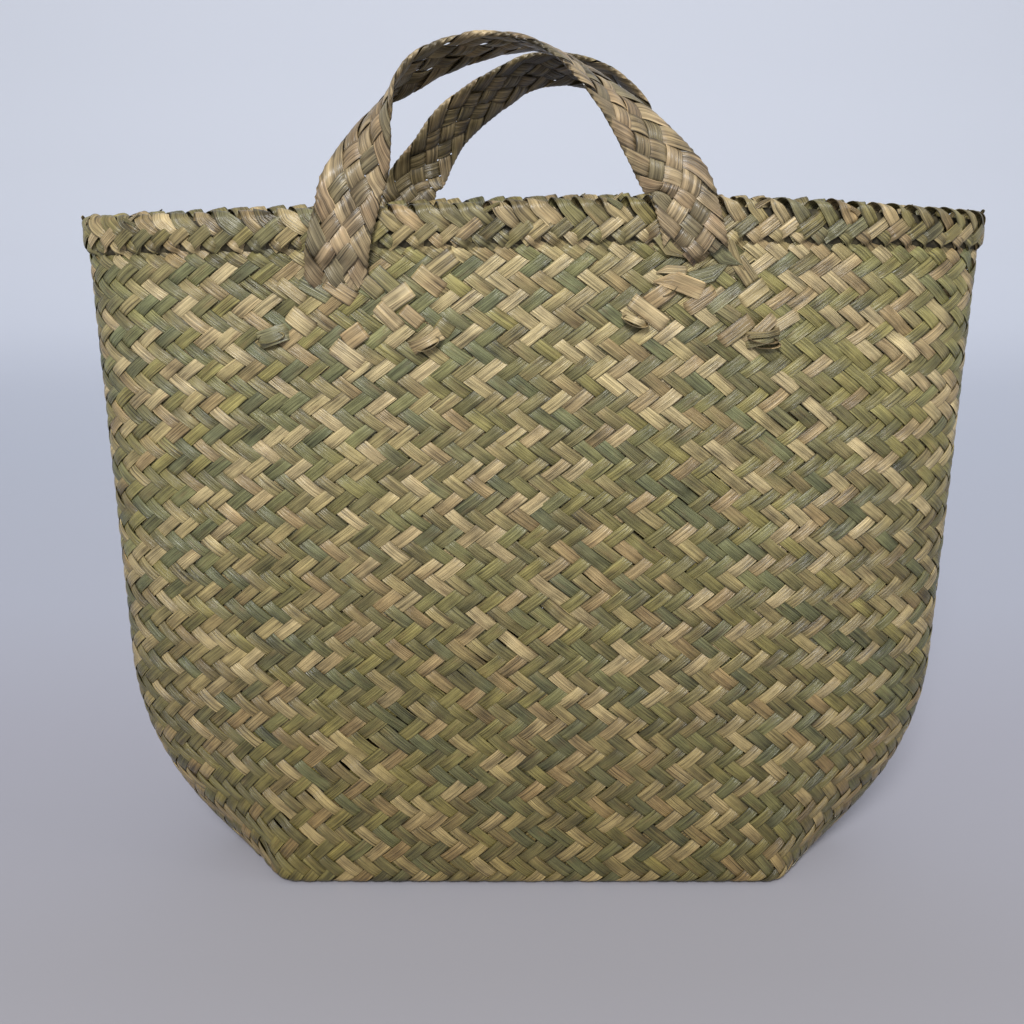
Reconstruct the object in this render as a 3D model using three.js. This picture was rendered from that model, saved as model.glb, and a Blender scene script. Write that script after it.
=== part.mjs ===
import * as THREE from 'three';

// A carry bag woven from flat leaf strips, with two plaited strap handles.
// Lengths are in millimetres. Width runs along X, depth along Y with the front at -Y,
// and Z = 0 is the floor under the middle of the base.

// The mouth is a long flattened oval.
const mouthHalfWidth = 199.5;
const mouthHalfDepth = 49;
const mouthRoundness = 2.3;
const mouthHeight = 325;
const mouthEndDrop = 7;

// The base is a long six-sided panel with a pointed end at each side.
const baseHalfWidth = 156;
const baseHalfDepth = 46;
const baseEdgeHalfLength = 123;
const baseCornerReach = 8;

// The walls open out from the base over this height, quickly at first and then less.
const flareHeight = 110;
const flarePower = 2.2;
const cornerGatherStart = 90;

// The walls are two strips thick, and the plaited rim is thicker and a little proud.
const wallThickness = 2.4;
const frontPanelHalfLength = 108;
const endPanelLength = 52;
const rimHeight = 19;
const rimThickness = 8;
const rimProud = 1.7;
const rimEdgeRound = 2.5;
const rimTopNarrowing = 0.2;

// Flat plaited straps make the handles.
const strapWidth = 28;
const strapThickness = 3;
const handleHalfSpan = 67.5;
const handleShift = -7.5;
const handleRise = 56;
const strapStraightEnd = 6;
const strapFootLength = 24;
const hingeAboveRim = 1.4;

// The course of each strap from its steep leg to its slanted one. Each stop has the place of the
// strap's middle, as shares of the handle's span and of its rise, and how far the outer face
// leans away from the bag, in degrees from facing straight up. It is 90 on the wall.
const frontStrapCourse = [
  [0, 0, 90], [0.106, 0.518, 27], [0.202, 0.799, -20], [0.337, 0.963, -19], [0.487, 1, -7],
  [0.635, 0.942, 8], [0.764, 0.682, 33], [0.885, 0.351, 48], [1, 0, 90],
];
const backStrapCourse = [
  [0, 0, 90], [0.127, 0.343, 43], [0.206, 0.724, 28], [0.343, 0.963, 24], [0.534, 1, 31],
  [0.686, 0.828, 38], [0.823, 0.594, 46], [0.924, 0.291, 53], [1, 0, 90],
];

// Below the rim each strap's strands part and are tucked down into the wall.
const rootShoulderHeight = 299;
const rootSpread = 6;
const rootSettleHeight = 8;
const rootTopSlant = 2;
const strandsPerSide = 4;
const strandAngle = THREE.MathUtils.degToRad(39);
const tailThickness = 0.8;
const tailLength = 42;
const tailStagger = 5;
const longestTail = 2;

// Pieces that touch keep this much room between them.
const seatGap = 0.3;
const panelGap = 0.4;

// Facets
const panelSteps = 18;
const cornerSteps = 4;
const endSteps = 7;
const heightSteps = 12;
const heightCrowding = 1.35;
const rimHeightSteps = 4;
const rimDepthSteps = 2;
const strapSteps = 48;
const strapWidthSteps = 2;
const rootSteps = 6;
const tailSteps = 4;
const baseOutlineSteps = 72;

const weave = { color: 0x8f8a5c, roughness: 0.62, metalness: 0 };
const plait = { color: 0x97895f, roughness: 0.6, metalness: 0 };
const strap = { color: 0x8d7a5c, roughness: 0.62, metalness: 0 };

const bag = new THREE.Group();

function addPiece(group, name, geometry, finish) {
  const mesh = new THREE.Mesh(geometry, new THREE.MeshStandardMaterial(finish));
  mesh.name = name;
  group.add(mesh);
}

// A panel starts as a flat slab whose x, y and z run from 0 to 1 along its length, its height
// and its thickness, and is then bent by a function that gives the place of each corner.
function bentSlab(lengthSteps, heightStepCount, depthSteps, place) {
  const slab = new THREE.BoxGeometry(1, 1, 1, lengthSteps, heightStepCount, depthSteps);
  slab.translate(0.5, 0.5, 0.5);
  const corners = slab.attributes.position;
  for (let i = 0; i < corners.count; i += 1) {
    const spot = place(corners.getX(i), corners.getY(i), corners.getZ(i));
    corners.setXYZ(i, spot.x, spot.y, spot.z);
  }
  slab.computeVertexNormals();
  return slab;
}

// One quarter of the mouth, from the middle of the front to the right-hand end.
class MouthQuarter extends THREE.Curve {
  getPoint(t, target = new THREE.Vector3()) {
    const angle = t * Math.PI / 2;
    const power = 2 / mouthRoundness;
    const x = mouthHalfWidth * Math.sin(angle) ** power;
    const y = -mouthHalfDepth * Math.cos(angle) ** power;
    return target.set(x, y, 0);
  }
}
const mouthQuarter = new MouthQuarter();
mouthQuarter.arcLengthDivisions = 600;
const quarterGirth = mouthQuarter.getLength();

// One quarter of the base, between the same two places.
const baseEnd = new THREE.Vector2(baseHalfWidth, 0);
const baseCorner = new THREE.Vector2(baseEdgeHalfLength, -baseHalfDepth);
const afterCorner = baseEnd.clone().sub(baseCorner).setLength(baseCornerReach).add(baseCorner);
const baseQuarter = new THREE.Path();
baseQuarter.moveTo(0, -baseHalfDepth);
baseQuarter.lineTo(baseCorner.x - baseCornerReach, baseCorner.y);
baseQuarter.quadraticCurveTo(baseCorner.x, baseCorner.y, afterCorner.x, afterCorner.y);
baseQuarter.lineTo(baseEnd.x, baseEnd.y);
const baseQuarterGirth = baseQuarter.getLength();

// The base is shorter round than the mouth, and the walls gather towards its pointed ends.
function girthAtBase(girth) {
  const gathered = Math.max(0, girth - cornerGatherStart) / (quarterGirth - cornerGatherStart);
  return girth - (quarterGirth - baseQuarterGirth) * gathered ** 1.5;
}

// A place in plan, by its distance round the mouth from the middle of the front towards +X.
// Spread is 0 on the outline of the base and 1 on the outline of the mouth.
function planPoint(girth, spread) {
  const wrapped = THREE.MathUtils.euclideanModulo(girth, 4 * quarterGirth);
  const quadrant = Math.min(3, Math.floor(wrapped / quarterGirth));
  const isMirrored = quadrant % 2 === 1;
  const start = quadrant * quarterGirth;
  const along = isMirrored ? start + quarterGirth - wrapped : wrapped - start;
  const upper = mouthQuarter.getPointAt(along / quarterGirth);
  const lower = baseQuarter.getPoint(girthAtBase(along) / baseQuarterGirth);
  const sideX = quadrant < 2 ? 1 : -1;
  const sideY = quadrant === 0 || quadrant === 3 ? 1 : -1;
  const x = THREE.MathUtils.lerp(lower.x, upper.x, spread);
  const y = THREE.MathUtils.lerp(lower.y, upper.y, spread);
  return new THREE.Vector2(sideX * x, sideY * y);
}

// A place on the outer face of the wall, at a height measured up the middle of the front.
function wallPoint(girth, height) {
  const spread = height < flareHeight ? 1 - (1 - height / flareHeight) ** flarePower : 1;
  const plan = planPoint(girth, spread);
  const drop = mouthEndDrop * (height / mouthHeight) ** 3 * (plan.x / mouthHalfWidth) ** 2;
  return new THREE.Vector3(plan.x, plan.y, height - drop);
}

function outwardNormal(girth, height) {
  const reach = 0.5;
  const around = wallPoint(girth + reach, height).sub(wallPoint(girth - reach, height));
  const upward = wallPoint(girth, height + reach).sub(wallPoint(girth, height - reach));
  return around.cross(upward).normalize();
}

// Base panel
const baseOutline = [];
for (let i = 0; i < baseOutlineSteps; i += 1) {
  const side = Math.floor(4 * i / baseOutlineSteps);
  const step = i - side * baseOutlineSteps / 4;
  const along = (side % 2 === 0 ? step : baseOutlineSteps / 4 - step) * 4 / baseOutlineSteps;
  const spot = baseQuarter.getPoint(along);
  const sideX = side < 2 ? 1 : -1;
  const sideY = side === 0 || side === 3 ? 1 : -1;
  baseOutline.push(new THREE.Vector2(sideX * spot.x, sideY * spot.y));
}
const basePanel = new THREE.ExtrudeGeometry(
  new THREE.Shape(baseOutline), { depth: wallThickness, bevelEnabled: false });
addPiece(bag, 'base_panel', basePanel, weave);

// Walls and rim go round the bag in ten lengths: the flat front and back, four corner lengths
// beside them, and four end lengths that meet in pairs at the two ends.
const rightEnd = quarterGirth;
const backMiddle = 2 * quarterGirth;
const leftEnd = 3 * quarterGirth;
const frontMiddle = 4 * quarterGirth;
const sectors = [
  { name: 'front', from: -frontPanelHalfLength, to: frontPanelHalfLength },
  { name: 'right_front_corner', from: frontPanelHalfLength, to: rightEnd - endPanelLength },
  { name: 'right_front_end', from: rightEnd - endPanelLength, to: rightEnd },
  { name: 'right_back_end', from: rightEnd, to: rightEnd + endPanelLength },
  {
    name: 'right_back_corner',
    from: rightEnd + endPanelLength,
    to: backMiddle - frontPanelHalfLength,
  },
  { name: 'back', from: backMiddle - frontPanelHalfLength, to: backMiddle + frontPanelHalfLength },
  {
    name: 'left_back_corner',
    from: backMiddle + frontPanelHalfLength,
    to: leftEnd - endPanelLength,
  },
  { name: 'left_back_end', from: leftEnd - endPanelLength, to: leftEnd },
  { name: 'left_front_end', from: leftEnd, to: leftEnd + endPanelLength },
  {
    name: 'left_front_corner',
    from: leftEnd + endPanelLength,
    to: frontMiddle - frontPanelHalfLength,
  },
];
const wallBottom = wallThickness + seatGap;
const rimBottom = mouthHeight - rimHeight;
const wallTop = rimBottom - seatGap;

// A place in a sector, at a share of its length. The outward direction is taken before the
// room for the next sector is left, so that two sectors meet on a shared plane at a sharp end.
function sectorPoint(sector, share, height, outward) {
  const girth = THREE.MathUtils.lerp(sector.from + panelGap / 2, sector.to - panelGap / 2, share);
  const facing = THREE.MathUtils.lerp(sector.from, sector.to, share);
  return wallPoint(girth, height).addScaledVector(outwardNormal(facing, height), outward);
}

function wallPanel(sector, steps) {
  return bentSlab(steps, heightSteps, 1, (x, y, z) => {
    const height = THREE.MathUtils.lerp(wallBottom, wallTop, y ** heightCrowding);
    return sectorPoint(sector, x, height, -wallThickness * (1 - z));
  });
}

// The rim's top is rounded: its edges are lower and drawn in.
function rimPlait(sector, steps) {
  const rimMiddle = rimProud - rimThickness / 2;
  return bentSlab(steps, rimHeightSteps, rimDepthSteps, (x, y, z) => {
    const across = 2 * z - 1;
    const drawnIn = 1 - rimTopNarrowing * y ** 4;
    const height = rimBottom + rimHeight * y - rimEdgeRound * across ** 2 * y ** 3;
    return sectorPoint(sector, x, height, rimMiddle + across * drawnIn * rimThickness / 2);
  });
}

function stepsIn(sector) {
  if (sector.name.endsWith('corner')) return cornerSteps;
  return sector.name.endsWith('end') ? endSteps : panelSteps;
}

for (const sector of sectors) {
  const steps = stepsIn(sector);
  addPiece(bag, `${sector.name}_wall`, wallPanel(sector, steps), weave);
  addPiece(bag, `${sector.name}_rim_plait`, rimPlait(sector, steps), plait);
}

// Handles
// Both are made as the front one, and the back one is turned half round about Z.
function depthAt(x) {
  const share = (Math.abs(x) / mouthHalfWidth) ** mouthRoundness;
  return mouthHalfDepth * (1 - share) ** (1 / mouthRoundness);
}

const steepLegX = handleShift - handleHalfSpan;
const slantLegX = handleShift + handleHalfSpan;
const nearestLegEdge = Math.min(Math.abs(steepLegX), Math.abs(slantLegX)) - strapWidth / 2;
const strapPlaneY = -(depthAt(nearestLegEdge) + rimProud + seatGap + strapThickness / 2);
const hingeHeight = mouthHeight + hingeAboveRim;

// Each end of the strap is rounded about the line that it folds on.
const endRound = strapThickness / 2;
const roundStops = [60, 30, 0].map((degrees) => THREE.MathUtils.degToRad(degrees));

function strapStops(strapLength) {
  const stops = roundStops.map((angle) => ({
    along: -endRound * Math.sin(angle), half: endRound * Math.cos(angle),
  }));
  for (let i = 1; i < strapSteps; i += 1) {
    stops.push({ along: strapLength * i / strapSteps, half: endRound });
  }
  const lastStops = stops.slice(0, roundStops.length).reverse();
  return stops.concat(lastStops.map(({ along, half }) => ({ along: strapLength - along, half })));
}

// At its feet the strap's width is level, so that each foot folds on one straight line.
function strapGeometry(course) {
  const line = new THREE.SplineCurve(course.map(([span, rise]) => new THREE.Vector2(
    steepLegX + span * 2 * handleHalfSpan, hingeHeight + rise * handleRise)));
  const leanLine = new THREE.SplineCurve(
    course.map(([, , degrees], i) => new THREE.Vector2(i, THREE.MathUtils.degToRad(degrees))));
  const strapLength = line.getLength();
  const stops = strapStops(strapLength);
  const forward = new THREE.Vector3(0, -1, 0);
  const sideways = new THREE.Vector3(0, 1, 0);
  return bentSlab(stops.length - 1, strapWidthSteps, 1, (x, y, z) => {
    const stop = stops[Math.round(x * (stops.length - 1))];
    const share = THREE.MathUtils.clamp(stop.along / strapLength, 0, 1);
    const beyond = stop.along - share * strapLength;
    const heading = line.getTangentAt(share);
    const tangent = new THREE.Vector3(heading.x, 0, heading.y);
    const up = tangent.clone().cross(sideways);
    const twisted = (stop.along - strapStraightEnd) / (strapLength - 2 * strapStraightEnd);
    const leanStop = line.getUtoTmapping(THREE.MathUtils.clamp(twisted, 0, 1));
    const lean = leanLine.getPoint(leanStop).y;
    const normal = up.multiplyScalar(Math.cos(lean)).addScaledVector(forward, Math.sin(lean));
    const isFirstLeg = share < 0.5;
    const fromFoot = isFirstLeg ? stop.along : strapLength - stop.along;
    const level = 1 - THREE.MathUtils.smoothstep(fromFoot, 0, strapFootLength);
    const levelAcross = new THREE.Vector3(isFirstLeg ? -1 : 1, 0, 0);
    const across = normal.clone().cross(tangent).lerp(levelAcross, level);
    const middle = line.getPointAt(share);
    return new THREE.Vector3(middle.x, strapPlaneY, middle.y)
      .addScaledVector(tangent, beyond)
      .addScaledVector(across, (y - 0.5) * strapWidth)
      .addScaledVector(normal, (2 * z - 1) * stop.half);
  });
}

// The fixed root of a strap lies on the rim, bends in to the wall below it and ends in a point
// whose two edges are square to the strands that leave them. Its top slants down outwards, to
// leave room for the strap when it is folded down.
const rootTop = hingeHeight - endRound - seatGap;
const rootPointDepth = strapWidth / 2 / Math.tan(strandAngle);
const rootPointHeight = rootShoulderHeight - rootPointDepth;

function rootCentre(leg, height) {
  const share = (rootTop - height) / (rootTop - rootPointHeight);
  return leg.x + leg.side * rootSpread * (1 - (1 - share) ** 2);
}

function rootGeometry(leg) {
  return bentSlab(rootSteps, rootSteps, 1, (x, y, z) => {
    const across = (x - 0.5) * strapWidth;
    const bottom = rootPointHeight + Math.abs(across) / Math.tan(strandAngle);
    const height = THREE.MathUtils.lerp(bottom, rootTop - rootTopSlant * z, y);
    const spotX = rootCentre(leg, height) + across;
    const settled = THREE.MathUtils.smoothstep(
      height, rimBottom - rootSettleHeight, rimBottom - 2 * seatGap);
    const onWall = -(depthAt(spotX) + seatGap + strapThickness / 2);
    const middle = THREE.MathUtils.lerp(onWall, strapPlaneY, settled);
    return new THREE.Vector3(spotX, middle - (z - 0.5) * strapThickness, height);
  });
}

// Strands run down from the root's pointed end, half of them to each side.
const strandPitch = strapWidth / 2 / Math.sin(strandAngle) / strandsPerSide;

function tailGeometry(leg, side, order) {
  const run = new THREE.Vector2(side * Math.cos(strandAngle), -Math.sin(strandAngle));
  const edge = new THREE.Vector2(side * Math.sin(strandAngle), Math.cos(strandAngle));
  const rootPoint = new THREE.Vector2(rootCentre(leg, rootPointHeight), rootPointHeight);
  const length = tailLength - tailStagger * Math.abs(order - longestTail);
  const shoulderX = rootCentre(leg, rootShoulderHeight);
  const start = seatGap + Math.abs(rootPoint.x - shoulderX);
  return bentSlab(tailSteps, 1, 1, (x, y, z) => {
    const slot = (side > 0 ? y : 1 - y) * (strandPitch - seatGap) + seatGap / 2;
    const spot = rootPoint.clone()
      .addScaledVector(edge, order * strandPitch + slot)
      .addScaledVector(run, start + x * length);
    const outward = seatGap + z * tailThickness;
    return new THREE.Vector3(spot.x, -(depthAt(spot.x) + outward), spot.y);
  });
}

function addHandle(handle) {
  const group = new THREE.Group();
  group.rotation.z = handle.turn;
  bag.add(group);
  addPiece(group, `${handle.name}_handle_strap`, strapGeometry(handle.course), strap);
  for (const leg of handle.legs) {
    addPiece(group, `${handle.name}_${leg.name}_handle_root`, rootGeometry(leg), strap);
    for (let order = 0; order < strandsPerSide; order += 1) {
      for (const side of [-1, 1]) {
        const turnedSide = handle.turn === 0 ? side : -side;
        const sideName = turnedSide < 0 ? 'left' : 'right';
        const name = `${handle.name}_${leg.name}_tail_${sideName}_${order + 1}`;
        addPiece(group, name, tailGeometry(leg, side, order), strap);
      }
    }
  }
}

addHandle({
  name: 'front',
  turn: 0,
  course: frontStrapCourse,
  legs: [{ name: 'left', x: steepLegX, side: -1 }, { name: 'right', x: slantLegX, side: 1 }],
});
addHandle({
  name: 'back',
  turn: Math.PI,
  course: backStrapCourse,
  legs: [{ name: 'right', x: steepLegX, side: -1 }, { name: 'left', x: slantLegX, side: 1 }],
});

export default bag;
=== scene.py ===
import math

import bmesh
import bpy
import numpy as np
from mathutils import Matrix


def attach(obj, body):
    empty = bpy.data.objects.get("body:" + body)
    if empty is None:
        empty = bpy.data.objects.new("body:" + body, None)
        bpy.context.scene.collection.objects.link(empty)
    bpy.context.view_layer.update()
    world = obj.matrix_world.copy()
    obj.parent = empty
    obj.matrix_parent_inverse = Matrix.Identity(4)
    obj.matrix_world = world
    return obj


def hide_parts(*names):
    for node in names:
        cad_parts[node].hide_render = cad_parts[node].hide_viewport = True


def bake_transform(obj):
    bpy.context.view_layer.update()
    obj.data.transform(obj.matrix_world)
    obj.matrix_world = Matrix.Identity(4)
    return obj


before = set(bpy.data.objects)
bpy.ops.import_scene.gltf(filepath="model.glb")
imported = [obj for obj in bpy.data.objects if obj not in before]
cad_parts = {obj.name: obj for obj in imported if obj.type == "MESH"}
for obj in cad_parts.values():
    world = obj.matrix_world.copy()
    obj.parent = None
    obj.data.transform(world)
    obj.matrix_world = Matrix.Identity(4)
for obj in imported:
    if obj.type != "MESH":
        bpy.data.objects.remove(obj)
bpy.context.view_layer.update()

# Camera
# It stands in front of the bag a little above the mouth and looks down at it, as in the
# photograph.
lens = bpy.data.cameras.new("camera")
lens.sensor_fit = "HORIZONTAL"
lens.sensor_width = 36
lens.lens = 38.6
camera = bpy.data.objects.new("camera", lens)
camera.location = (-0.0095, -0.510, 0.333)
camera.rotation_euler = (math.radians(73.1), 0, 0)
bpy.context.collection.objects.link(camera)
bpy.context.scene.camera = camera

# Floor, backdrop and light
# A pale sheet of paper lies under the bag and sweeps up behind it; its colour carries painted
# shade, grey at the bag and in front of it and paler towards the back and up the backdrop. A soft
# lamp hangs high above the front, a weak one stands at the right, and the room's own light fills
# in from all round.
sweep_half_width, sweep_front, sweep_turn, sweep_radius, sweep_top = 4.0, -4.0, 1.5, 0.7, 3.0
floor_drop = 0.0005
paper_near, paper_far = -0.2, 2.9

stage_mesh = bmesh.new()
bmesh.ops.create_grid(stage_mesh, x_segments=1, y_segments=40, size=0.5)
turn_length = sweep_radius * math.pi / 2
for corner in stage_mesh.verts:
    run = (corner.co.y + 0.5) * (sweep_turn - sweep_front + turn_length + sweep_top) + sweep_front
    angle = min(max(run - sweep_turn, 0) / sweep_radius, math.pi / 2)
    beyond = max(run - sweep_turn - turn_length, 0)
    corner.co.y = min(run, sweep_turn) + sweep_radius * math.sin(angle)
    corner.co.z = sweep_radius * (1 - math.cos(angle)) + beyond - floor_drop
    corner.co.x *= 2 * sweep_half_width
sweep_data = bpy.data.meshes.new("sweep")
stage_mesh.to_mesh(sweep_data)
stage_mesh.free()
sweep_data.shade_smooth()
sweep = bpy.data.objects.new("sweep", sweep_data)
bpy.context.collection.objects.link(sweep)


def linear(red, green, blue):
    """A colour named by its screen values from 0 to 255, as a shader takes it."""
    return tuple(((v / 255 + 0.055) / 1.055) ** 2.4 for v in (red, green, blue)) + (1,)


def colour_ramp(nodes, *stops):
    """A ramp through stops that each give a place from 0 to 1 and a colour's screen values."""
    ramp = nodes.new("ShaderNodeValToRGB")
    elements = ramp.color_ramp.elements
    placed = [(place, linear(*colour)) for place, *colour in stops]
    elements[0].position, elements[0].color = placed[0]
    elements[-1].position, elements[-1].color = placed[-1]
    for place, colour in placed[1:-1]:
        elements.new(place).color = colour
    return ramp


paper = bpy.data.materials.new("pale_paper")
paper.use_nodes = True
paper_nodes, paper_links = paper.node_tree.nodes, paper.node_tree.links
paper_shader = paper_nodes["Principled BSDF"]
paper_shader.inputs["Roughness"].default_value = 0.8
paper_place = paper_nodes.new("ShaderNodeTexCoord")
paper_axes = paper_nodes.new("ShaderNodeSeparateXYZ")
paper_links.new(paper_place.outputs["Object"], paper_axes.inputs[0])
paper_depth = paper_nodes.new("ShaderNodeMath")
paper_depth.operation = "ADD"
paper_links.new(paper_axes.outputs[1], paper_depth.inputs[0])
paper_links.new(paper_axes.outputs[2], paper_depth.inputs[1])
paper_share = paper_nodes.new("ShaderNodeMapRange")
paper_share.inputs["From Min"].default_value = paper_near
paper_share.inputs["From Max"].default_value = paper_far
paper_links.new(paper_depth.outputs[0], paper_share.inputs["Value"])
# Painted shade: the paper's colour runs from grey at the bag and in front of it to pale far behind
# and up the backdrop, standing in for the light falling off.
paper_painted_shade = colour_ramp(
    paper_nodes, (0.03, 150, 148, 154), (0.1, 163, 162, 172), (0.17, 176, 178, 190),
    (0.34, 196, 200, 213), (0.65, 230, 234, 246), (1.0, 238, 241, 250))
paper_links.new(paper_share.outputs[0], paper_painted_shade.inputs[0])
paper_links.new(paper_painted_shade.outputs[0], paper_shader.inputs["Base Color"])
sweep_data.materials.append(paper)

world = bpy.data.worlds.new("room")
world.use_nodes = True
room = world.node_tree.nodes["Background"]
room.inputs["Color"].default_value = (0.93, 0.96, 1, 1)
room.inputs["Strength"].default_value = 0.55
bpy.context.scene.world = world
bpy.context.scene.view_settings.view_transform = "Standard"

for name, place, turn, size, power in (
    ("front_lamp", (-0.2, -1.45, 1.4), (50, 0, -8), 0.5, 36),
    ("side_lamp", (1.5, -0.2, 1.3), (55, 0, 80), 0.9, 4),
):
    lamp = bpy.data.lights.new(name, "AREA")
    lamp.energy = power
    lamp.size = size
    lamp_object = bpy.data.objects.new(name, lamp)
    lamp_object.location = place
    lamp_object.rotation_euler = [math.radians(v) for v in turn]
    bpy.context.collection.objects.link(lamp_object)

# Woven walls and base
# One cloth of flat dried leaf strips covers the base and all the walls. Each strip runs slantwise
# down one wall, under the base and up the other, over two strips and under two by turns.
# Lengths are in millimetres. A strip's widths and shifts are shares of its pitch.
mm = 0.001
mouth_half_width, mouth_half_depth, mouth_roundness = 199.5, 49, 2.3
mouth_height, mouth_end_drop, mouth_drop_power = 325, 7, 3
mouth_tilt, mouth_tilt_reach = 0.031, 150
base_half_width, base_half_depth, base_edge_half_length, base_corner_reach = 156, 46, 123, 8
flare_height, flare_power = 110, 2.2
corner_gather_start, corner_gather_power = 90, 1.5
wall_middle, floor_middle = 0.95, 1.2
columns = 92
half_columns = columns // 2
row_pitch, row_shrink = 8.69, 0.02223
spine_row, top_row = -5.92, 39.9
spine_half_length, spine_gather = 148, 0.88
base_fold = 0.4
right_falling_first, left_falling_first = -29, -16
left_shift, right_shift, float_middle = 0.58, -0.08, 1.08
relief, relief_change, float_flatness = 0.72, 0.16, 1.6
strip_thickness, strip_edge_drop, strip_edge_thinning = 0.46, 0.2, 0.5
strip_share, strip_share_change, narrowest_strip, widest_strip = 0.94, 0.045, 0.9, 1.02
strip_drift, strip_tilt = 0.055, 0.2
end_tuck_depth, end_tuck_height, end_tuck_reach = 1.7, 305.2, 2.6
steps_per_row, strip_lanes = 8, 3

rng = np.random.default_rng(21)

share = np.linspace(0, 1, 4001)
mouth_curve = np.stack([
    mouth_half_width * np.sin(share * math.pi / 2) ** (2 / mouth_roundness),
    -mouth_half_depth * np.cos(share * math.pi / 2).clip(0) ** (2 / mouth_roundness)])
base_corner = np.array([base_edge_half_length, -base_half_depth], float)
corner_start = base_corner - (base_corner_reach, 0)
base_tip = np.array([base_half_width, 0.0])
slant = (base_tip - base_corner) / np.linalg.norm(base_tip - base_corner)
corner_end = base_corner + base_corner_reach * slant
bend = np.linspace(0, 1, 40)[:, None]
rounding = ((1 - bend) ** 2 * corner_start + 2 * bend * (1 - bend) * base_corner
            + bend ** 2 * corner_end)
base_curve = np.concatenate([[(0, -base_half_depth)], rounding, [base_tip]]).T


def running_length(curve):
    return np.concatenate([[0], np.cumsum(np.hypot(*np.diff(curve)))])


mouth_run = running_length(mouth_curve)
base_run = running_length(base_curve)
quarter_girth = mouth_run[-1]
column_pitch = 4 * quarter_girth / columns


def plan_point(girth, spread):
    """A place in plan by its distance round the mouth, on the base (0) or the mouth (1)."""
    wrapped = np.mod(girth, 4 * quarter_girth)
    quadrant = np.minimum(3, wrapped // quarter_girth).astype(int)
    along = np.where(quadrant % 2, (quadrant + 1) * quarter_girth - wrapped,
                     wrapped - quadrant * quarter_girth)
    gathered = (along - corner_gather_start).clip(0) / (quarter_girth - corner_gather_start)
    low = along - (quarter_girth - base_run[-1]) * gathered ** corner_gather_power
    x = np.interp(low, base_run, base_curve[0]) * (1 - spread)
    x = x + np.interp(along, mouth_run, mouth_curve[0]) * spread
    y = np.interp(low, base_run, base_curve[1]) * (1 - spread)
    y = y + np.interp(along, mouth_run, mouth_curve[1]) * spread
    return np.where(quadrant < 2, x, -x), np.where(quadrant % 3 == 0, y, -y)


def side_point(girth, height, inset):
    """A place on the side of the bag, that far inside its outer face."""
    spread = 1 - (1 - (height / flare_height).clip(0, 1)) ** flare_power
    x, y = plan_point(girth, spread)
    look = 2.5
    ahead, behind = plan_point(girth + look, spread), plan_point(girth - look, spread)
    run_x, run_y = ahead[0] - behind[0], ahead[1] - behind[1]
    run = np.hypot(run_x, run_y)
    risen = (height / mouth_height) ** mouth_drop_power
    drop = mouth_end_drop * risen * (x / mouth_half_width) ** 2
    drop = drop - mouth_tilt * risen * x * np.exp(-(x / mouth_tilt_reach) ** 2)
    lift = floor_middle * (1 - height / mouth_height)
    return np.stack([x - inset * run_y / run, y + inset * run_x / run, height - drop + lift], -1)


def height_of(row):
    return row_pitch * row - row_shrink * row ** 2


def bag_point(column, row):
    """The middle of the cloth's thickness. Columns count round the bag from the middle of the
    front, and rows up the wall from the edge of the base, or below 0 in across the base."""
    column, row = np.broadcast_arrays(column, row)
    mirrored = row < spine_row
    column = np.where(mirrored, columns / 2 - column, column)
    row = np.where(mirrored, 2 * spine_row - row, row)
    girth = column * column_pitch
    side = side_point(girth, height_of(row.clip(base_fold)), wall_middle)
    edge = side_point(girth, np.zeros_like(row), wall_middle)
    across = np.mod(column + columns / 4, columns / 2) - columns / 4
    across = np.where(np.mod(column + columns / 4, columns) < columns / 2, across, -across)
    spine_x = 0.5 * (spine_gather * edge[..., 0] + spine_half_length * across / (columns / 4))
    spine = np.stack([spine_x, np.zeros_like(row), np.full_like(row, floor_middle)], -1)
    inward = (-row / -spine_row).clip(base_fold / -spine_row, 1)[..., None]
    under = edge * (1 - inward) + spine * inward
    turn = ((base_fold - row) / (2 * base_fold)).clip(0, 1)[..., None]
    turned = (1 - turn) ** 2 * side + 2 * turn * (1 - turn) * edge + turn ** 2 * under
    low = np.where((row < -base_fold)[..., None], under, turned)
    return np.where((row > base_fold)[..., None], side, low)


def lifted(surface, u, v, lift, reach=0.04):
    """Places above a surface. Its outer side is where v turns to the left of u."""
    along_u = surface(u + reach, v) - surface(u - reach, v)
    along_v = surface(u, v + reach) - surface(u, v - reach)
    normal = np.cross(along_u, along_v)
    normal /= np.linalg.norm(normal, axis=-1, keepdims=True)
    return surface(u, v) + normal * lift[..., None]


def wander(count, run, *lengths):
    """Slow random drift along each of several strips, mostly between -1 and 1, in waves of about
    these lengths."""
    total = np.zeros((count, len(run)))
    for length in lengths:
        phase = rng.uniform(0, 2 * math.pi, (count, 1))
        total += np.sin(run * 2 * math.pi / (length * rng.uniform(0.8, 1.25, (count, 1))) + phase)
    return total / math.sqrt(len(lengths))


def smooth(share):
    share = np.clip(share, 0, 1)
    return share * share * (3 - 2 * share)


def flattened(wave):
    """A wave from -1 to 1 that stays near its top and its bottom and passes quickly between."""
    return np.tanh(float_flatness * wave) / math.tanh(float_flatness)


def write_attribute(mesh, name, values):
    mesh.attributes.new(name, "FLOAT", "POINT").data.foreach_set("value", values.astype(np.float32))


def write_layout(mesh, name, places):
    mesh.uv_layers.new(name=name).data.foreach_set("uv", places.astype(np.float32).ravel())


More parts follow.
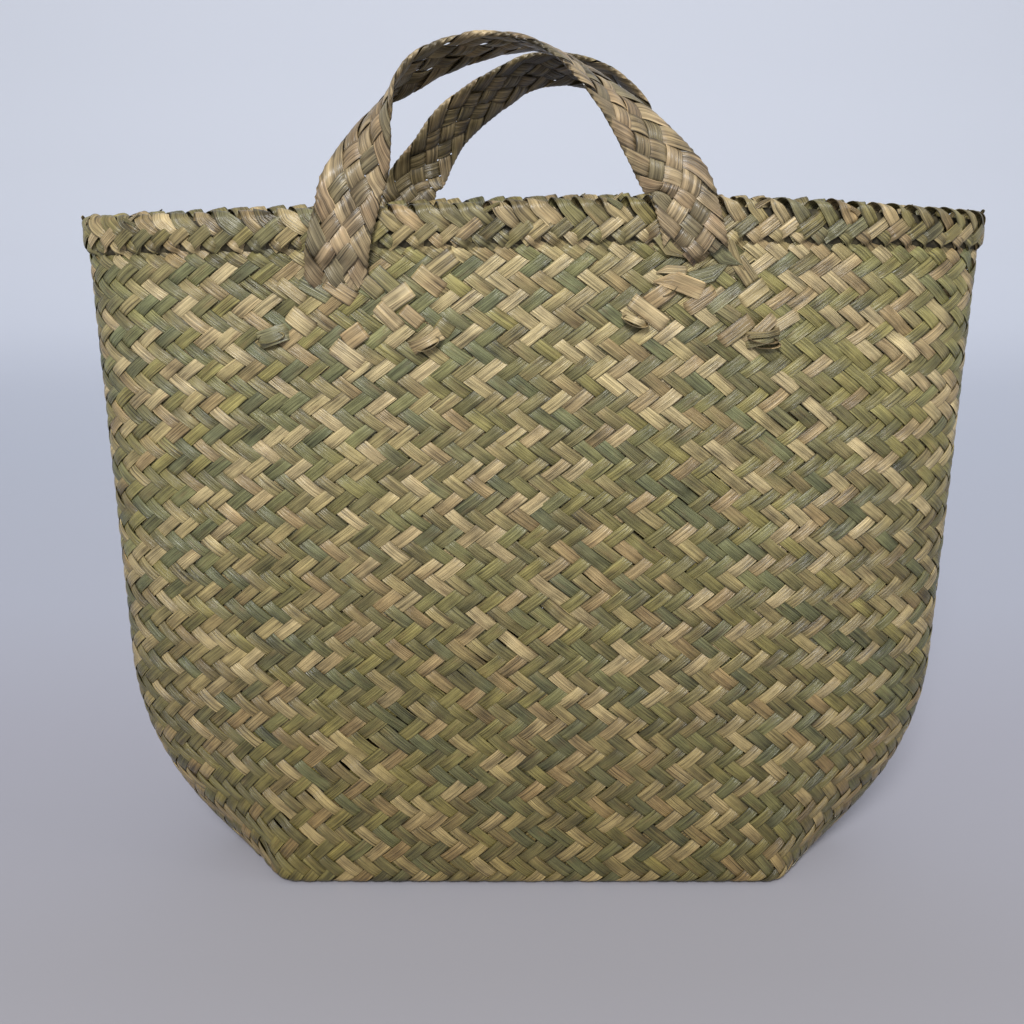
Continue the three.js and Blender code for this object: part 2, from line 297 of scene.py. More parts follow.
def leaf_piece(name, middle, thickness, tone, facing=1):
    """One object of closed leaf strips. Middle holds, for each strip, each step along it and each
    lane across it, the place of the middle of its thickness in millimetres. Facing is -1 where a
    strip has been turned over."""
    count, steps, lanes = middle.shape[0], middle.shape[1] - 1, middle.shape[2] - 1
    slab = 0.5
    bm = bmesh.new()
    for strip in range(count):
        bmesh.ops.create_grid(bm, x_segments=lanes, y_segments=steps, size=0.5,
                              matrix=Matrix.Translation((2 * strip + 0.5, 0.5, 0)))
    bmesh.ops.solidify(bm, geom=bm.faces[:], thickness=slab)
    mesh = bpy.data.meshes.new(name)
    bm.to_mesh(mesh)
    bm.free()
    flat = np.empty(3 * len(mesh.vertices), np.float32)
    mesh.vertices.foreach_get("co", flat)
    flat = flat.reshape(-1, 3)
    strip = (flat[:, 0] // 2).astype(int)
    across = flat[:, 0] - 2 * strip
    lane = np.rint(across * lanes).astype(int)
    step = np.rint(flat[:, 1] * steps).astype(int)
    side = np.where(flat[:, 2] > -slab / 2, 1, -1)

    # The seen side, the hidden side and the edges of each strip lie in bands of their own on the
    # sheet that finished colours are kept on.
    face_start, face_width, edge_start, edge_width, near = 0.04, 0.8, 0.88, 0.08, 0.01
    corner = np.empty(len(mesh.loops), np.int32)
    mesh.loops.foreach_get("vertex_index", corner)
    centre = np.repeat(flat[corner].reshape(-1, 4, 3).mean(1), 4, axis=0)
    pieces = max(1, round(math.sqrt(steps / (lanes * count * 2))))
    part = np.floor(centre[:, 1] * pieces).clip(0, pieces - 1)
    upper = centre[:, 2] > -near
    lower = centre[:, 2] < near - slab
    band = (strip[corner] * pieces + part) * 2 + lower
    within = np.where(upper | lower, face_start + face_width * across[corner],
                      edge_start + edge_width * (side[corner] > 0))
    sheet = [flat[corner, 1] * pieces - part, (band + within) / (count * pieces * 2)]
    write_layout(mesh, "OFBake", np.stack(sheet, -1))

    travel = np.linalg.norm(np.diff(middle[:, :, lanes // 2], axis=1), axis=-1)
    travel = np.concatenate([np.zeros((count, 1)), np.cumsum(travel, axis=1)], axis=1)
    along = travel[strip[corner], step[corner]]
    write_layout(mesh, "leaf", np.stack([along * mm, across[corner] - 0.5], -1))

    by_lane = np.gradient(middle, axis=2)
    by_step = np.gradient(middle, axis=1)
    normal = np.cross(by_lane, by_step)
    normal /= np.linalg.norm(normal, axis=-1, keepdims=True) + 1e-9
    thin = 1 - strip_edge_thinning * np.abs(2 * across - 1) ** 3
    half = side * thin * thickness / 2
    place = middle[strip, step, lane] + normal[strip, step, lane] * half[:, None]
    mesh.vertices.foreach_set("co", (place * mm).astype(np.float32).ravel())

    tone = np.broadcast_to(np.asarray(tone).reshape(count, -1), (count, steps + 1))
    facing = np.broadcast_to(facing, (count, steps + 1))
    own_grain = 613 * tone[:, 0] + 17.3 * np.arange(count)
    write_attribute(mesh, "tone", tone[strip, step])
    write_attribute(mesh, "grain", own_grain[strip])
    write_attribute(mesh, "inner", side * facing[strip, step] < 0)
    mesh.shade_smooth()
    mesh.set_sharp_from_angle(angle=math.radians(50))
    mesh.update()
    piece = bpy.data.objects.new(name, mesh)
    bpy.context.collection.objects.link(piece)
    return piece


def leaf_group():
    """Dried leaf: a colour from the strip's own tone, drift and fibres along it, with painted shade
    and painted highlights along its edges.
    """
    group = bpy.data.node_groups.new("dried_leaf", "ShaderNodeTree")
    socket = group.interface.new_socket
    for name, value in (("Tone", 0.5), ("Grain", 0.0), ("Fade", 0.0), ("Inner", 0.0), ("Tan", 0.0),
                        ("Streaks", 1.0)):
        socket(name, in_out="INPUT", socket_type="NodeSocketFloat").default_value = value
    socket("Leaf", in_out="INPUT", socket_type="NodeSocketVector")
    socket("Color", in_out="OUTPUT", socket_type="NodeSocketColor")
    socket("Roughness", in_out="OUTPUT", socket_type="NodeSocketFloat")
    socket("Height", in_out="OUTPUT", socket_type="NodeSocketFloat")
    nodes, links = group.nodes, group.links
    inputs = nodes.new("NodeGroupInput")
    outputs = nodes.new("NodeGroupOutput")

    def math_node(operation, a, b=None, c=None, clamp=False):
        node = nodes.new("ShaderNodeMath")
        node.operation = operation
        node.use_clamp = clamp
        for slot, value in zip(node.inputs, (a, b, c)):
            if value is None:
                continue
            if isinstance(value, (int, float)):
                slot.default_value = value
            else:
                links.new(value, slot)
        return node.outputs[0]

    def noise(vector, detail=2.0, roughness=0.5):
        node = nodes.new("ShaderNodeTexNoise")
        node.noise_dimensions = "3D"
        node.inputs["Scale"].default_value = 1
        node.inputs["Detail"].default_value = detail
        node.inputs["Roughness"].default_value = roughness
        links.new(vector, node.inputs["Vector"])
        return node.outputs["Fac"]

    def mixed(kind, factor, a, b):
        node = nodes.new("ShaderNodeMix")
        node.data_type = "RGBA"
        node.blend_type = kind
        for slot, value in zip((node.inputs[0], node.inputs[6], node.inputs[7]), (factor, a, b)):
            if isinstance(value, (int, float, tuple)):
                slot.default_value = value
            else:
                links.new(value, slot)
        return node.outputs[2]

    split = nodes.new("ShaderNodeSeparateXYZ")
    links.new(inputs.outputs["Leaf"], split.inputs[0])

    def stretched(along, across, shift):
        joined = nodes.new("ShaderNodeCombineXYZ")
        links.new(math_node("MULTIPLY", split.outputs[0], along), joined.inputs[0])
        links.new(math_node("MULTIPLY", split.outputs[1], across), joined.inputs[1])
        links.new(math_node("ADD", inputs.outputs["Grain"], shift), joined.inputs[2])
        return joined.outputs[0]

    drift = math_node("SUBTRACT", noise(stretched(22, 0.2, 0.0)), 0.5)
    lightness = math_node("SUBTRACT", noise(stretched(75, 0.5, 31.0)), 0.5)
    streak = noise(stretched(20, 5.5, 77.0), 3.0, 0.7)
    fine = noise(stretched(45, 14, 11.0), 2.0, 0.7)
    split_line = noise(stretched(34, 13, 5.0), 1.0, 0.5)
    stain = noise(stretched(90, 1.6, 53.0), 2.0)

    # Greens, straws and tans stand side by side along the ramp, and each strip has one place on it.
    ramp = colour_ramp(
        nodes, (0.0, 108, 110, 77), (0.13, 124, 121, 79), (0.26, 144, 134, 81),
        (0.4, 112, 107, 69), (0.54, 164, 148, 103), (0.68, 188, 170, 128),
        (0.8, 156, 134, 95), (0.91, 125, 117, 77), (1.0, 108, 109, 78))
    shifted = math_node("MULTIPLY_ADD", drift, 0.4, inputs.outputs["Tone"])
    links.new(math_node("PINGPONG", shifted, 1.0), ramp.inputs[0])
    tan_amount = math_node("MULTIPLY", inputs.outputs["Tan"], 0.8)
    browned = mixed("MIX", tan_amount, ramp.outputs[0], linear(134, 114, 97))
    inner_amount = math_node("MULTIPLY", inputs.outputs["Inner"], 0.6)
    browned = mixed("MIX", inner_amount, browned, linear(118, 104, 74))
    stain_amount = math_node("MULTIPLY", math_node("SUBTRACT", stain, 0.55, clamp=True), 1.8)
    stained = mixed("MIX", stain_amount, browned, linear(116, 88, 62))

    # The fibres and the split lines lighten and darken that colour; along the strips' edges
    #     # painted shade darkens it and a painted highlight lightens it.
    dark_below, pale_above, edge_shade_from, glint_from = 0.37, 0.64, 0.43, 0.465
    streaks = inputs.outputs["Streaks"]
    value = math_node("MULTIPLY_ADD", lightness, 1.7, 0.96)
    value = math_node("MULTIPLY_ADD", math_node("SUBTRACT", streak, 0.5),
                      math_node("MULTIPLY", streaks, 1.9), value)
    value = math_node("MULTIPLY_ADD", math_node("SUBTRACT", fine, 0.5),
                      math_node("MULTIPLY", streaks, 1.2), value)
    dark_line = math_node("LESS_THAN", split_line, dark_below)
    value = math_node("MULTIPLY_ADD", dark_line, -0.3, value)
    pale_line = math_node("GREATER_THAN", split_line, pale_above)
    value = math_node("MULTIPLY_ADD", pale_line, 0.28, value)
    # Painted shade: each strip's outer edges are darkened, as the shadow in the gaps between
    # strips.
    offset = math_node("ABSOLUTE", split.outputs[1])
    beyond_face = math_node("SUBTRACT", offset, edge_shade_from, clamp=True)
    edge = math_node("MULTIPLY", beyond_face, 16.0, clamp=True)
    value = math_node("MULTIPLY_ADD", edge, -0.6, value)
    # Painted highlight: a broken pale line along the very edge of some strips, where an edge would
    # catch the light.
    glint_breakup = math_node("SUBTRACT", fine, math_node("MULTIPLY", edge, 0.1))
    broken = math_node("GREATER_THAN", glint_breakup, 0.5)
    glint = math_node("MULTIPLY", math_node("GREATER_THAN", offset, glint_from), broken)
    value = math_node("MULTIPLY_ADD", glint, 1.1, value)
    value = math_node("MULTIPLY_ADD", inputs.outputs["Inner"], -0.25, value)
    value = math_node("MAXIMUM", value, 0.25)
    grey = nodes.new("ShaderNodeCombineXYZ")
    for slot in grey.inputs:
        links.new(value, slot)
    shaded = mixed("MULTIPLY", 1.0, stained, grey.outputs[0])
    # This input browns and darkens the colour: on the rim, the straps and the tucked strands by a
    # fixed amount as the leaf's own colour, and on the walls more towards the floor as painted
    # shade.
    shaded = mixed("MULTIPLY", inputs.outputs["Fade"], shaded, (0.56, 0.5, 0.36, 1))
    links.new(shaded, outputs.inputs["Color"])
    links.new(math_node("MULTIPLY_ADD", fine, 0.35, 0.18), outputs.inputs["Roughness"])
    links.new(math_node("MULTIPLY_ADD", fine, 0.4, streak), outputs.inputs["Height"])
    return group


dried_leaf = leaf_group()
painted_shade_top, fibre_depth = 0.27, 0.0011


def leaf_material(name, tan, bump, streaks=1.0, fade=0.0, painted_shade_low=0.0, two_sided=False):
    """A leaf finish. Its fade browns all of it, and its low fade is painted shade that browns and
    darkens it towards the floor. A finish with two sides shows the leaf's dull side where a strip
    is turned over."""
    material = bpy.data.materials.new(name)
    material.use_nodes = True
    nodes, links = material.node_tree.nodes, material.node_tree.links
    shader = nodes["Principled BSDF"]
    leaf = nodes.new("ShaderNodeGroup")
    leaf.node_tree = dried_leaf
    read = (("tone", "Tone"), ("grain", "Grain"), ("inner", "Inner"))
    for attribute, slot in read[:3 if two_sided else 2]:
        value = nodes.new("ShaderNodeAttribute")
        value.attribute_name = attribute
        links.new(value.outputs["Fac"], leaf.inputs[slot])
    layout = nodes.new("ShaderNodeUVMap")
    layout.uv_map = "leaf"
    links.new(layout.outputs[0], leaf.inputs["Leaf"])
    leaf.inputs["Tan"].default_value = tan
    leaf.inputs["Streaks"].default_value = streaks
    leaf.inputs["Fade"].default_value = fade
    # Painted shade: below a set height the leaf darkens and browns more the nearer it lies to the
    # floor.
    if painted_shade_low:
        place = nodes.new("ShaderNodeTexCoord")
        axes = nodes.new("ShaderNodeSeparateXYZ")
        links.new(place.outputs["Object"], axes.inputs[0])
        low = nodes.new("ShaderNodeMapRange")
        low.inputs["From Min"].default_value = painted_shade_top
        low.inputs["From Max"].default_value = 0.0
        low.inputs["To Max"].default_value = painted_shade_low
        links.new(axes.outputs[2], low.inputs["Value"])
        links.new(low.outputs[0], leaf.inputs["Fade"])
    lift = nodes.new("ShaderNodeBump")
    lift.inputs["Strength"].default_value = bump
    lift.inputs["Distance"].default_value = fibre_depth
    shader.inputs["Specular IOR Level"].default_value = 0.5
    links.new(leaf.outputs["Height"], lift.inputs["Height"])
    links.new(leaf.outputs["Color"], shader.inputs["Base Color"])
    links.new(leaf.outputs["Roughness"], shader.inputs["Roughness"])
    links.new(lift.outputs[0], shader.inputs["Normal"])
    return material


wall_leaf = leaf_material("wall_leaf", tan=0.0, bump=1.0, painted_shade_low=0.9)

strip_rows = np.linspace(top_row, 2 * spine_row - top_row,
                         round(2 * (top_row - spine_row) * steps_per_row) + 1)
lanes = np.linspace(-0.5, 0.5, strip_lanes + 1)


def strip_middles(first, shift, lean):
    """Lean is 1 for strips that run down to the right as seen from outside, and else -1."""
    index = first + np.arange(half_columns)
    drift = strip_drift * wander(half_columns, strip_rows, 5, 13, 31)
    width = strip_share + strip_share_change * wander(half_columns, strip_rows, 4, 9)
    width = width.clip(narrowest_strip, widest_strip)
    spare = drift[:, :, None] + width[:, :, None] * lanes
    run = strip_rows[None, :, None]
    column = index[:, None, None] + shift - lean * run + spare / 2
    row = run + lean * spare / 2
    wave = lean * np.cos(math.pi * (run - float_middle))
    bow = 1 - strip_edge_drop * (2 * lanes) ** 2
    rise = relief * (1 + relief_change * wander(half_columns, strip_rows, 2.3, 5)[:, :, None])
    tilt = strip_tilt * wander(half_columns, strip_rows, 1.7, 3.9, 8)[:, :, None] * lanes
    lift = rise * flattened(wave) * bow + tilt
    end_height = height_of(spine_row + np.abs(run - spine_row)) + 0 * lift
    lift = lift - end_tuck_depth * smooth((end_height - end_tuck_height) / end_tuck_reach)
    return lifted(bag_point, column, row, lift)


set_count = 3
walls = {
    "right_falling": (strip_middles(right_falling_first, left_shift, 1), 1),
    "left_falling": (strip_middles(left_falling_first, right_shift, -1), -1),
}
for lean_name, (middles, lean) in walls.items():
    tones = rng.permutation(half_columns) / half_columns + rng.uniform(0, 0.02, half_columns)
    if lean > 0:
        middles = middles[:, ::-1]
    for part in range(set_count):
        picked = slice(part, None, set_count)
        piece = leaf_piece(f"{lean_name}_strips_{part + 1}", middles[picked], strip_thickness,
                           tones[picked])
        piece.data.materials.append(wall_leaf)
        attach(piece, "bag")
sides = ["front", "right_front_corner", "right_front_end", "right_back_end", "right_back_corner",
         "back", "left_back_corner", "left_back_end", "left_front_end", "left_front_corner"]
for count, side_name in enumerate(sides):
    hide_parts(f"{side_name}_wall")
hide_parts("base_panel")

# Rim
# The ends of the strips are folded over the mouth and plaited into a thick rounded edge: slanting
# wraps run over the top, under a row of short floats and over the next strip on each side.
rim_bottom, rim_side, rim_crown, rim_foot = 306, 15.4, 2.7, 4.0
rim_proud, rim_middle = 0.6, -2.3
rim_thickness, rim_edge_drop = 0.5, 0.35
holder_row, wrap_row, row_swell = 7.8, 12.3, 0.65
wrap_slope, crown_slope, wrap_phase, wrap_cross = 0.13, 0.058, 0.62, 1.5
wrap_overrun, wrap_steep_loss = 0.4, 0.045
wrap_low_width, wrap_top_width, wrap_steep_narrowing = 5.5, 6.6, 1.1
# Each wrap starts behind the cloth, comes out over one strip, dips under the floats and lies on
# top again: its height over the rim's shape, by the distance from its nearer end.
wrap_places = (0, 1.8, 3.2, 4.4, 6.2, 9.0, 10.6, 14)
wrap_heights = (-2.0, -1.9, 0.4, 0.65, -0.5, -0.5, 0.5, 0.6)
wrap_upper_start, wrap_upper_reach = 8, 4
holder_width, holder_half_length, holder_slope = 5.3, 5.4, 0.135
holder_sink, holder_rise, holder_level, holder_dip = 0.6, 1.6, 4.5, 2.4

crown_angle = np.linspace(0, math.pi, 25)
rim_profile = np.concatenate([
    [[rim_proud, -rim_foot]],
    np.stack([rim_middle + (rim_proud - rim_middle) * np.cos(crown_angle),
              rim_side + rim_crown * np.sin(crown_angle)], -1),
    [[2 * rim_middle - rim_proud, -rim_foot]]]).T
rim_run = running_length(rim_profile) - rim_foot
rim_length = rim_run[-1] - rim_foot


def rim_point(column, run):
    """A place on the rim, by its distance up the outer side, over the top and down inside."""
    column, run = np.broadcast_arrays(column, run)
    outward = np.interp(run, rim_run, rim_profile[0])
    height = rim_bottom + np.interp(run, rim_run, rim_profile[1])
    return side_point(column * column_pitch, height, -outward)


def laid(surface, column, run, width, lift, tilt, unit=1.0, shift=0.0, lane_count=3):
    """Strips that follow paths over a surface, with their width square to the path and their
    middle shifted aside. Unit is the length of one step of run in millimetres."""
    spots = np.linspace(-0.5, 0.5, lane_count + 1)
    ahead = np.gradient(run, axis=1) * unit
    aside = np.gradient(column * column_pitch, axis=1)
    length = np.hypot(ahead, aside)
    across = (width * np.ones_like(run))[:, :, None] * spots
    across = across + (shift * np.ones_like(run))[:, :, None]
    side_column = (ahead / length / column_pitch)[:, :, None] * across
    side_run = (-aside / length / unit)[:, :, None] * across
    bow = lift[:, :, None] - rim_edge_drop * (2 * spots) ** 2 * rim_thickness
    bow = bow + tilt[:, :, None] * spots
    return lifted(surface, column[:, :, None] + side_column, run[:, :, None] + side_run, bow, 0.05)


def scatter(spread, count=columns):
    """Random steps from one strip to the next, as a column."""
    return rng.normal(0, spread, (count, 1))


wrap_steps = np.linspace(-wrap_overrun, rim_length + wrap_overrun, 72)
wrap_index = np.arange(columns)[:, None]
row_rise = row_swell * (1 - np.cos(4 * math.pi * (wrap_index + wrap_phase) / columns))
steepness = smooth(np.sin(2 * math.pi * (wrap_index + wrap_phase) / columns) * 2)
on_side = wrap_steps.clip(None, rim_side)
past_side = (wrap_steps - rim_side).clip(0)
upper_slope = (wrap_slope - wrap_steep_loss * steepness) * rng.uniform(0.8, 1.1, (columns, 1))
anchor = holder_row + row_rise
wrap_column = (wrap_index + wrap_phase + wrap_slope * (wrap_row - holder_row) + scatter(0.08)
               - wrap_slope * np.minimum(on_side - anchor, wrap_cross)
               - upper_slope * (on_side - anchor - wrap_cross).clip(0) - crown_slope * past_side)
wrap_run = np.broadcast_to(wrap_steps, wrap_column.shape)
from_end = np.minimum(wrap_steps, rim_length - wrap_steps) - row_rise
wrap_lift = np.interp(from_end, wrap_places, wrap_heights) + scatter(0.1)
upper_side = smooth((from_end - wrap_upper_start) / wrap_upper_reach)
upper_width = wrap_top_width - wrap_steep_narrowing * steepness
wrap_wide = (wrap_low_width + (upper_width - wrap_low_width) * upper_side) * (1 + scatter(0.1))
wrap_wide = wrap_wide * (1 + 0.09 * wander(columns, wrap_steps, 9, 17))
wrap_tilt = -(0.1 + 1.1 * upper_side) * (1 + scatter(0.4)) + 0.35 * wander(columns, wrap_steps, 8)
wraps = laid(rim_point, wrap_column, wrap_run, wrap_wide, wrap_lift, wrap_tilt)

holder_steps = np.linspace(-holder_half_length, holder_half_length, 19)
holders = []
for inside in (False, True):
    run_middle = rim_length - holder_row - row_rise if inside else holder_row + row_rise
    column_middle = np.array([np.interp(run, wrap_steps, line)
                              for run, line in zip(run_middle[:, 0], wrap_column)])[:, None]
    reach = rng.uniform(0.92, 1.08, (columns, 1))
    holder_column = column_middle + scatter(0.04) + holder_slope * holder_steps * reach
    holder_run = run_middle + holder_steps * reach + scatter(0.25)
    risen = smooth((holder_level - np.abs(holder_steps)) / holder_dip)
    holder_lift = -holder_sink + (holder_rise + scatter(0.14)) * risen
    holder_wide = holder_width * (1 + scatter(0.09)) * np.ones_like(holder_steps)
    holder_tilt = scatter(0.3) * np.ones_like(holder_steps)
    holders.append(laid(rim_point, holder_column, holder_run, holder_wide, holder_lift,
                        holder_tilt))

# Some strips have split, and their slivers stand up from the edge. Each has a column, a place on
# the rim's profile, a slant and a length.
sliver_width, sliver_thickness, sliver_point = 1.9, 0.25, 0.6
frays = ((-18.6, 17, 1.2, 9), (-18.1, 16, -0.9, 8), (-9.7, 17, 1.0, 10), (3.1, 18, 0.8, 11),
         (3.7, 17, -1.1, 8), (-2.2, 17, 1.3, 7), (9.5, 17, 1.1, 8), (14.3, 16, -1.0, 7))
frays += tuple((column, 17, rng.choice((-1, 1)) * rng.uniform(0.7, 1.4), rng.uniform(6, 10))
               for column in rng.uniform(20, 72, 16))
fray_share = np.linspace(0, 1, 13)
fray_base, fray_run, fray_slant, fray_length = (np.array(v)[:, None] for v in zip(*frays))
fray_column = fray_base + fray_slant * fray_length * 0.7 * fray_share / column_pitch
fray_along = fray_run - 2 + 0.5 * fray_length * fray_share * (1 - 0.4 * fray_share)
fray_lift = 0.6 + 0.2 * fray_length * fray_share ** 1.6
fray_wide = (sliver_width + scatter(0.4, len(frays))) * (1 - sliver_point * fray_share)
slivers = laid(rim_point, fray_column, fray_along, fray_wide, fray_lift, 0 * fray_lift)

rim_leaf = leaf_material("rim_leaf", tan=0.2, bump=0.8, streaks=1.4, fade=0.3)
rim_parts = (("rim_wraps", wraps, rim_thickness), ("rim_outer_holders", holders[0], rim_thickness),
             ("rim_inner_holders", holders[1], rim_thickness),
             ("rim_slivers", slivers, sliver_thickness))
for name, middles, thickness in rim_parts:
    piece = leaf_piece(name, middles, thickness, rng.uniform(0, 1, len(middles)))
    piece.data.materials.append(rim_leaf)
    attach(piece, "bag")
for count, side_name in enumerate(sides):
    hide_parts(f"{side_name}_rim_plait")

# Under the wraps lies a bundle of the strips' folded ends. It is coloured far darker than the
# # leaf, as painted shade that shows in the gaps between the wraps.
core_around, core_along = 12, 2 * columns
core_half_width, core_middle, core_half_height, core_squareness = 1.7, 7.9, 7.3, 0.7
core = bmesh.new()
bmesh.ops.create_grid(core, x_segments=core_around, y_segments=core_along, size=0.5)
grid = np.array([corner.co[:] for corner in core.verts])
angle = (grid[:, 0] + 0.5) * 2 * math.pi
square = 1 / np.maximum(np.abs(np.cos(angle)), np.abs(np.sin(angle))) ** core_squareness
core_inset = -(rim_middle + core_half_width * np.cos(angle) * square)
core_height = rim_bottom + core_middle + core_half_height * np.sin(angle) * square
core_place = side_point((grid[:, 1] + 0.5) * 4 * quarter_girth, core_height, core_inset) * mm
for corner, place in zip(core.verts, core_place):
    corner.co = place
bmesh.ops.remove_doubles(core, verts=core.verts[:], dist=1e-6)
bmesh.ops.recalc_face_normals(core, faces=core.faces[:])
core_data = bpy.data.meshes.new("rim_core")
core.to_mesh(core_data)
core.free()
core_data.shade_smooth()
core_piece = bpy.data.objects.new("rim_core", core_data)
bpy.context.collection.objects.link(core_piece)
core_leaf = bpy.data.materials.new("core_leaf")
core_leaf.use_nodes = True
core_nodes, core_links = core_leaf.node_tree.nodes, core_leaf.node_tree.links
core_shader = core_nodes["Principled BSDF"]
core_shader.inputs["Roughness"].default_value = 0.8
core_spot = core_nodes.new("ShaderNodeTexCoord")
core_ends = core_nodes.new("ShaderNodeTexNoise")
core_ends.inputs["Scale"].default_value = 260
core_ends.inputs["Detail"].default_value = 3
core_links.new(core_spot.outputs["Object"], core_ends.inputs["Vector"])
# Painted shade: the folded ends are given a colour far darker than the leaf itself.
core_painted_shade_ramp = colour_ramp(core_nodes, (0.35, 42, 37, 24), (0.7, 78, 70, 46))
core_links.new(core_ends.outputs["Fac"], core_painted_shade_ramp.inputs[0])
core_links.new(core_painted_shade_ramp.outputs[0], core_shader.inputs["Base Color"])
core_lift = core_nodes.new("ShaderNodeBump")
core_lift.inputs["Strength"].default_value = 0.5
core_lift.inputs["Distance"].default_value = 0.001
core_links.new(core_ends.outputs["Fac"], core_lift.inputs["Height"])
core_links.new(core_lift.outputs[0], core_shader.inputs["Normal"])
core_data.materials.append(core_leaf)
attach(core_piece, "bag")

# Handles
# Each handle is a flat plait of six strands, over one and under one, whose edges are the strands
# folded back over themselves. It passes down over the rim, and its ends part into the wall.
leg_places = (-75, 60)
hinge_height, hinge_reach, handle_rise = 326.4, 3, 56
strap_width, strap_fill, strap_plane = 28, 0.985, -51.763
lean_end, level_length = 3, 12
curl, most_twist = 0.84, 0.05
# Each stop along a strap gives the place of its middle, as shares of the span and of the rise,
# and how far its outer face leans from facing straight up, in degrees.
courses = {
    "front": ((0, 0, 90), (0.084, 0.533, 23), (0.178, 0.79, -16.5), (0.342, 0.969, -18),
              (0.491, 1.021, -7), (0.624, 0.944, 7.5), (0.772, 0.678, 27.5), (0.894, 0.36, 54),
              (1, 0, 90)),
    "back": ((0, 0, 90), (0.127, 0.343, 43), (0.206, 0.724, 28), (0.343, 0.963, 24),
             (0.534, 1, 31), (0.686, 0.828, 38), (0.823, 0.594, 46), (0.924, 0.291, 53),
             (1, 0, 90)),
}
root_top, root_point, root_spread, root_proud = 324.6, 281.71, 8, 1.8
root_settle_height, root_settle_reach = 298, 7.4
first_end, last_end, first_taper, last_taper = 38.4, 29.4, 0.35, 0.9
strand_count, plait_lanes = 6, 3
long_row, short_row, row_change, row_start = 13.3, 10.2, 35, 6.2
strand_relief, strand_thickness, strand_steps = 1.0, 0.6, 520
strand_width, strand_width_change, strand_relief_change = 0.95, 0.06, 0.14
strand_drift, strand_tilt, strand_edge_drop = 0.06, 0.55, 0.2
edge_softness, fold_sharpness = 0.07, 7
end_sink, end_sink_reach = 2.0, 6


def through(values, share):
    """A smooth curve through evenly spaced values, as a share of the way from first to last."""
    values = np.asarray(values, float)
    place = share.clip(0, 1) * (len(values) - 1)
    step = np.minimum(place.astype(int), len(values) - 2)
    t = place - step
    a, b, c, d = (values[(step + k).clip(0, len(values) - 1)] for k in (-1, 0, 1, 2))
    start, end = (c - a) / 2, (d - b) / 2
    return ((2 * b - 2 * c + start + end) * t ** 3 + (3 * c - 3 * b - 2 * start - end) * t ** 2
            + start * t + b)


def mouth_depth(x):
    return mouth_half_depth * (1 - (np.abs(x) / mouth_half_width) ** mouth_roundness) ** (
        1 / mouth_roundness)


def strap_surface(course):
    """The middle sheet of a strap and its two roots, by distances along and across it, and the
    length of the strap. Where the strap twists it is also curled, with its outer side round."""
    span, rise, lean = np.array(course).T
    share = np.linspace(0, 1, 1600)
    curve = np.stack([leg_places[0] + through(span, share) * (leg_places[1] - leg_places[0]),
                      hinge_height + through(rise, share) * handle_rise])
    runs = running_length(curve)
    length = runs[-1]
    heading = np.gradient(curve, runs, axis=1)
    heading /= np.hypot(*heading)
    leans = np.radians(through(lean, share))
    twist = np.abs(np.gradient(leans, runs)).clip(0, most_twist)
    twist = np.convolve(np.pad(twist, 60, "edge"), np.ones(121) / 121, "valid")

    def surface(run, across):
        on_strap = run.clip(0, length)
        x, z = (np.interp(on_strap, runs, line) for line in curve)
        heading_x, heading_z = (np.interp(on_strap, runs, line) for line in heading)
        leaned = ((on_strap - lean_end) / (length - 2 * lean_end)).clip(0, 1) * length
        free = smooth(np.minimum(on_strap, length - on_strap) / level_length)
        bent = curl * np.interp(leaned, runs, twist)
        bent = bent * free
        angle = np.interp(leaned, runs, leans) - bent * across / 2
        aside = [-np.sin(angle) * heading_z, np.cos(angle), np.sin(angle) * heading_x]
        level = 1 - free[..., None]
        flat = np.where((on_strap < length / 2)[..., None], (-1.0, 0.0, 0.0), (1.0, 0.0, 0.0))
        aside = np.stack(aside, -1) * (1 - level) + flat * level
        aside /= np.linalg.norm(aside, axis=-1, keepdims=True)
        aside *= (across * np.sinc(bent * across / (2 * math.pi)))[..., None]
        bridge = np.stack([x, np.full_like(x, strap_plane), z], -1) + aside
        side = np.where(run < length / 2, -1, 1)
        height = hinge_height - np.maximum(-run, run - length).clip(0)
        spread = ((root_top - height) / (root_top - root_point)).clip(0, 1)
        leg_x = np.where(side < 0, leg_places[0], leg_places[1])
        root_x = leg_x + side * (root_spread * (1 - (1 - spread) ** 2) + across)
        settled = smooth((height - root_settle_height) / root_settle_reach)
        root_y = -(mouth_depth(root_x) + root_proud) * (1 - settled) + strap_plane * settled
        root = np.stack([root_x, root_y, height], -1)
        return np.where(((run < 0) | (run > length))[..., None], root, bridge)
    return surface, length


def strand_sign(middle, own):
    """+1 where a strand lies on the outer side of the plait and -1 where it lies behind."""
    middle, own = np.mod(middle, strand_count)[..., None], np.mod(own, strand_count)
    folds = (np.tanh(fold_sharpness * own) * np.tanh(fold_sharpness * (plait_lanes - own))
             * np.tanh(fold_sharpness * (strand_count - own)))
    turns = np.array([0.75, 1.25, 1.75, 2.25, 3.75, 4.25, 4.75, 5.25])
    return np.prod(np.tanh(fold_sharpness * (turns - middle)), axis=-1) * folds


